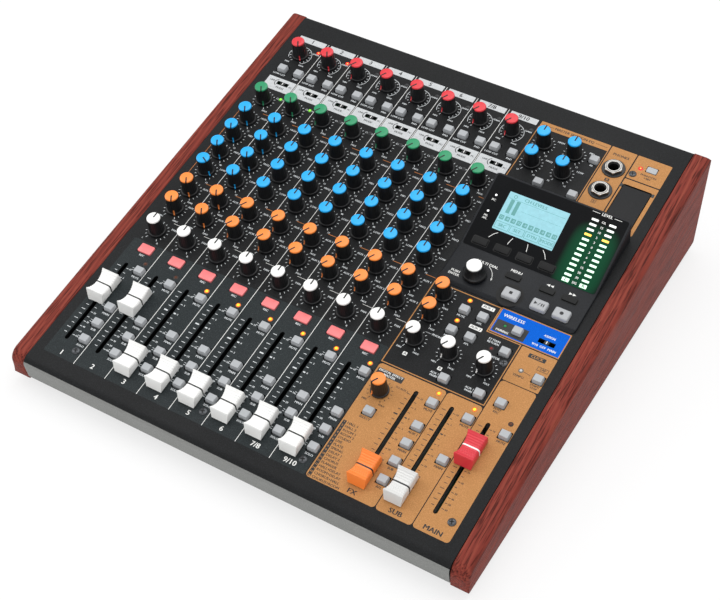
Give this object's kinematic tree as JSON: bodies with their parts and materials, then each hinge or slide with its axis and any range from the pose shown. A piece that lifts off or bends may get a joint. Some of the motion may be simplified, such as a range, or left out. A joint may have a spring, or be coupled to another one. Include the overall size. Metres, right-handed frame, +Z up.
{
  "type": "mixing console",
  "caption": "Sloping desk mixing console with knob rows, long slide faders, wooden cheeks, a raised display housing with a jog dial, and connectors at the rear.",
  "frame": {"origin": "centre of the footprint, at the surface that the feet stand on", "axes": "+Z up, +Y from the front edge to the rear panel, +X to the right when seen from the front"},
  "size_m": [0.343, 0.3566, 0.0957],
  "materials": {
    "panel_paint": "fine textured black and slate paint with printed bands",
    "painted_steel": "satin black paint on folded sheet steel",
    "red_wood": "stained red brown, satin lacquer",
    "black_plastic": "satin moulded",
    "gloss_overlay": "high gloss",
    "lit_glass": "lit pale blue behind clear glass",
    "light_pipe": "clear light pipes, lit",
    "circuit_board": "green lacquer on glass fibre board",
    "bare_steel": "nickel plated",
    "black_rubber": "matt",
    "red_cap": "satin moulded",
    "green_cap": "satin moulded",
    "blue_cap": "satin moulded",
    "orange_cap": "satin moulded",
    "white_cap": "satin moulded",
    "grey_key": "satin moulded",
    "pink_key": "satin moulded"
  },
  "bodies": {
    "console": {"bottom_tray": "painted_steel", "top_panel": "panel_paint", "rear_panel": "painted_steel", "left_cheek": "red_wood", "right_cheek": "red_wood", "display_housing": "black_plastic", "display_overlay": "gloss_overlay", "screen_glass": "lit_glass", "meter_block": "light_pipe", "channel_board": "circuit_board", "fader_board": "circuit_board", "master_board": "circuit_board", "input_board": "bare_steel", "output_board": "bare_steel", "foot_front_left": "black_rubber", "foot_front_right": "black_rubber", "foot_rear_left": "black_rubber", "foot_rear_right": "black_rubber"},
    "gain_knob_1": {"gain_knob_1": "red_cap"},
    "compressor_knob_1": {"compressor_knob_1": "green_cap"},
    "eq_high_knob_1": {"eq_high_knob_1": "blue_cap"},
    "eq_mid_gain_knob_1": {"eq_mid_gain_knob_1": "blue_cap"},
    "eq_mid_frequency_knob_1": {"eq_mid_frequency_knob_1": "blue_cap"},
    "aux_first_knob_1": {"aux_first_knob_1": "orange_cap"},
    "aux_second_knob_1": {"aux_second_knob_1": "orange_cap"},
    "eq_low_knob_1": {"eq_low_knob_1": "blue_cap"},
    "pan_knob_1": {"pan_knob_1": "white_cap"},
    "phones_first_knob": {"phones_first_knob": "white_cap"},
    "phones_second_knob": {"phones_second_knob": "white_cap"},
    "monitor_knob": {"monitor_knob": "white_cap"},
    "effect_knob": {"effect_knob": "orange_cap"},
    "low_cut_key_1": {"low_cut_key_1": "grey_key"},
    "pad_key_1": {"pad_key_1": "grey_key"},
    "mute_key_1": {"mute_key_1": "grey_key"},
    "main_key_1": {"main_key_1": "grey_key"},
    "sub_key_1": {"sub_key_1": "grey_key"},
    "solo_key_1": {"solo_key_1": "grey_key"},
    "effect_select_key": {"effect_select_key": "grey_key"},
    "main_mute_key": {"main_mute_key": "grey_key"},
    "record_key_1": {"record_key_1": "pink_key"},
    "stop_key": {"stop_key": "grey_key"},
    "play_key": {"play_key": "grey_key"},
    "capture_key": {"capture_key": "grey_key"},
    "mode_switch_1": {"mode_switch_1": "white_cap"},
    "assign_switch": {"assign_switch": "white_cap"},
    "fader_1": {"fader_1": "white_cap"},
    "fader_2": {"fader_2": "white_cap"},
    "fader_3": {"fader_3": "white_cap"},
    "fader_4": {"fader_4": "white_cap"},
    "fader_5": {"fader_5": "white_cap"},
    "fader_6": {"fader_6": "white_cap"},
    "fader_7": {"fader_7": "white_cap"},
    "fader_8": {"fader_8": "white_cap"},
    "effect_fader": {"effect_fader": "orange_cap"},
    "sub_fader": {"sub_fader": "white_cap"},
    "main_fader": {"main_fader": "red_cap"},
    "jog_shaft": {"jog_shaft": "bare_steel"},
    "jog_dial": {"jog_dial": "white_cap"},
    "card_door": {"card_door": "black_plastic"},
    "power_rocker": {"power_rocker": "black_plastic"}
  },
  "joints": [
    {"name": "gain_knob_1_turn", "type": "hinge", "parent": "console", "child": "gain_knob_1", "pos_m": [-0.1408, 0.13647, 0.08014], "axis": [0, -0.165, 0.9863], "range_deg": [0, 300]},
    {"name": "compressor_knob_1_turn", "type": "hinge", "parent": "console", "child": "compressor_knob_1", "pos_m": [-0.1408, 0.08588, 0.07167], "axis": [0, -0.165, 0.9863], "range_deg": [0, 300]},
    {"name": "eq_high_knob_1_turn", "type": "hinge", "parent": "console", "child": "eq_high_knob_1", "pos_m": [-0.1408, 0.06429, 0.06806], "axis": [0, -0.165, 0.9863], "range_deg": [0, 300]},
    {"name": "eq_mid_gain_knob_1_turn", "type": "hinge", "parent": "console", "child": "eq_mid_gain_knob_1", "pos_m": [-0.1408, 0.04627, 0.06504], "axis": [0, -0.165, 0.9863], "range_deg": [0, 300]},
    {"name": "eq_mid_frequency_knob_1_turn", "type": "hinge", "parent": "console", "child": "eq_mid_frequency_knob_1", "pos_m": [-0.1408, 0.02825, 0.06202], "axis": [0, -0.165, 0.9863], "range_deg": [0, 300]},
    {"name": "aux_first_knob_1_turn", "type": "hinge", "parent": "console", "child": "aux_first_knob_1", "pos_m": [-0.1408, -0.01029, 0.05558], "axis": [0, -0.165, 0.9863], "range_deg": [0, 300]},
    {"name": "aux_second_knob_1_turn", "type": "hinge", "parent": "console", "child": "aux_second_knob_1", "pos_m": [-0.1408, -0.02853, 0.05252], "axis": [0, -0.165, 0.9863], "range_deg": [0, 300]},
    {"name": "eq_low_knob_1_turn", "type": "hinge", "parent": "console", "child": "eq_low_knob_1", "pos_m": [-0.1408, 0.01023, 0.05901], "axis": [0, -0.165, 0.9863], "range_deg": [-30, 270]},
    {"name": "pan_knob_1_turn", "type": "hinge", "parent": "console", "child": "pan_knob_1", "pos_m": [-0.1408, -0.05033, 0.04888], "axis": [0, -0.165, 0.9863], "range_deg": [-150, 150]},
    {"name": "phones_first_knob_turn", "type": "hinge", "parent": "console", "child": "phones_first_knob", "pos_m": [0.0624, -0.04875, 0.04914], "axis": [0, -0.165, 0.9863], "range_deg": [-300, 0]},
    {"name": "phones_second_knob_turn", "type": "hinge", "parent": "console", "child": "phones_second_knob", "pos_m": [0.0878, -0.04875, 0.04914], "axis": [0, -0.165, 0.9863], "range_deg": [-300, 0]},
    {"name": "monitor_knob_turn", "type": "hinge", "parent": "console", "child": "monitor_knob", "pos_m": [0.1132, -0.04875, 0.04914], "axis": [0, -0.165, 0.9863], "range_deg": [-300, 0]},
    {"name": "effect_knob_turn", "type": "hinge", "parent": "console", "child": "effect_knob", "pos_m": [0.0624, -0.09262, 0.0418], "axis": [0, -0.165, 0.9863], "range_deg": [-300, 0]},
    {"name": "low_cut_key_1_press", "type": "slide", "parent": "console", "child": "low_cut_key_1", "axis": [0, 0.165, -0.9863], "range_m": [0, 0.0012], "stiffness_N_per_m": 300},
    {"name": "pad_key_1_press", "type": "slide", "parent": "console", "child": "pad_key_1", "axis": [0, 0.165, -0.9863], "range_m": [0, 0.0012], "stiffness_N_per_m": 300},
    {"name": "mute_key_1_press", "type": "slide", "parent": "console", "child": "mute_key_1", "axis": [0, 0.165, -0.9863], "range_m": [0, 0.0012], "stiffness_N_per_m": 300},
    {"name": "main_key_1_press", "type": "slide", "parent": "console", "child": "main_key_1", "axis": [0, 0.165, -0.9863], "range_m": [0, 0.0012], "stiffness_N_per_m": 300},
    {"name": "sub_key_1_press", "type": "slide", "parent": "console", "child": "sub_key_1", "axis": [0, 0.165, -0.9863], "range_m": [0, 0.0012], "stiffness_N_per_m": 300},
    {"name": "solo_key_1_press", "type": "slide", "parent": "console", "child": "solo_key_1", "axis": [0, 0.165, -0.9863], "range_m": [0, 0.0012], "stiffness_N_per_m": 300},
    {"name": "effect_select_key_press", "type": "slide", "parent": "console", "child": "effect_select_key", "axis": [0, 0.165, -0.9863], "range_m": [0, 0.0012], "stiffness_N_per_m": 300},
    {"name": "main_mute_key_press", "type": "slide", "parent": "console", "child": "main_mute_key", "axis": [0, 0.165, -0.9863], "range_m": [0, 0.0012], "stiffness_N_per_m": 300},
    {"name": "record_key_1_press", "type": "slide", "parent": "console", "child": "record_key_1", "axis": [0, 0.165, -0.9863], "range_m": [0, 0.0006], "stiffness_N_per_m": 300},
    {"name": "stop_key_press", "type": "slide", "parent": "console", "child": "stop_key", "axis": [0, 0.165, -0.9863], "range_m": [0, 0.001], "stiffness_N_per_m": 300},
    {"name": "play_key_press", "type": "slide", "parent": "console", "child": "play_key", "axis": [0, 0.165, -0.9863], "range_m": [0, 0.001], "stiffness_N_per_m": 300},
    {"name": "capture_key_press", "type": "slide", "parent": "console", "child": "capture_key", "axis": [0, 0.165, -0.9863], "range_m": [0, 0.001], "stiffness_N_per_m": 300},
    {"name": "mode_switch_1_slide", "type": "slide", "parent": "console", "child": "mode_switch_1", "axis": [1, 0, 0], "range_m": [-0.0026, 0.0026]},
    {"name": "assign_switch_slide", "type": "slide", "parent": "console", "child": "assign_switch", "axis": [1, 0, 0], "range_m": [-0.0036, 0.0036]},
    {"name": "fader_1_slide", "type": "slide", "parent": "console", "child": "fader_1", "axis": [0, 0.9863, 0.165], "range_m": [-0.0396, 0.0204]},
    {"name": "fader_2_slide", "type": "slide", "parent": "console", "child": "fader_2", "axis": [0, 0.9863, 0.165], "range_m": [-0.0401, 0.0199]},
    {"name": "fader_3_slide", "type": "slide", "parent": "console", "child": "fader_3", "axis": [0, 0.9863, 0.165], "range_m": [0, 0.06]},
    {"name": "fader_4_slide", "type": "slide", "parent": "console", "child": "fader_4", "axis": [0, 0.9863, 0.165], "range_m": [0, 0.06]},
    {"name": "fader_5_slide", "type": "slide", "parent": "console", "child": "fader_5", "axis": [0, 0.9863, 0.165], "range_m": [0, 0.06]},
    {"name": "fader_6_slide", "type": "slide", "parent": "console", "child": "fader_6", "axis": [0, 0.9863, 0.165], "range_m": [0, 0.06]},
    {"name": "fader_7_slide", "type": "slide", "parent": "console", "child": "fader_7", "axis": [0, 0.9863, 0.165], "range_m": [0, 0.06]},
    {"name": "fader_8_slide", "type": "slide", "parent": "console", "child": "fader_8", "axis": [0, 0.9863, 0.165], "range_m": [0, 0.06]},
    {"name": "effect_fader_slide", "type": "slide", "parent": "console", "child": "effect_fader", "axis": [0, 0.9863, 0.165], "range_m": [0, 0.06]},
    {"name": "sub_fader_slide", "type": "slide", "parent": "console", "child": "sub_fader", "axis": [0, 0.9863, 0.165], "range_m": [0, 0.06]},
    {"name": "main_fader_slide", "type": "slide", "parent": "console", "child": "main_fader", "axis": [0, 0.9863, 0.165], "range_m": [-0.0415, 0.0185]},
    {"name": "jog_press", "type": "slide", "parent": "console", "child": "jog_shaft", "axis": [0, 0.165, -0.9863], "range_m": [0, 0.0008], "stiffness_N_per_m": 300},
    {"name": "jog_turn", "type": "hinge", "parent": "jog_shaft", "child": "jog_dial", "pos_m": [0.0735, 0.01218, 0.06248], "axis": [0, -0.165, 0.9863], "continuous": true},
    {"name": "card_door_open", "type": "hinge", "parent": "console", "child": "card_door", "pos_m": [0.13799, 0.12622, 0.0772], "axis": [-1, 0, 0], "range_deg": [0, 95]},
    {"name": "power_rocker_tip", "type": "hinge", "parent": "console", "child": "power_rocker", "pos_m": [0.13901, 0.17283, 0.057], "axis": [1, 0, 0], "range_deg": [-14, 0]}
  ]
}
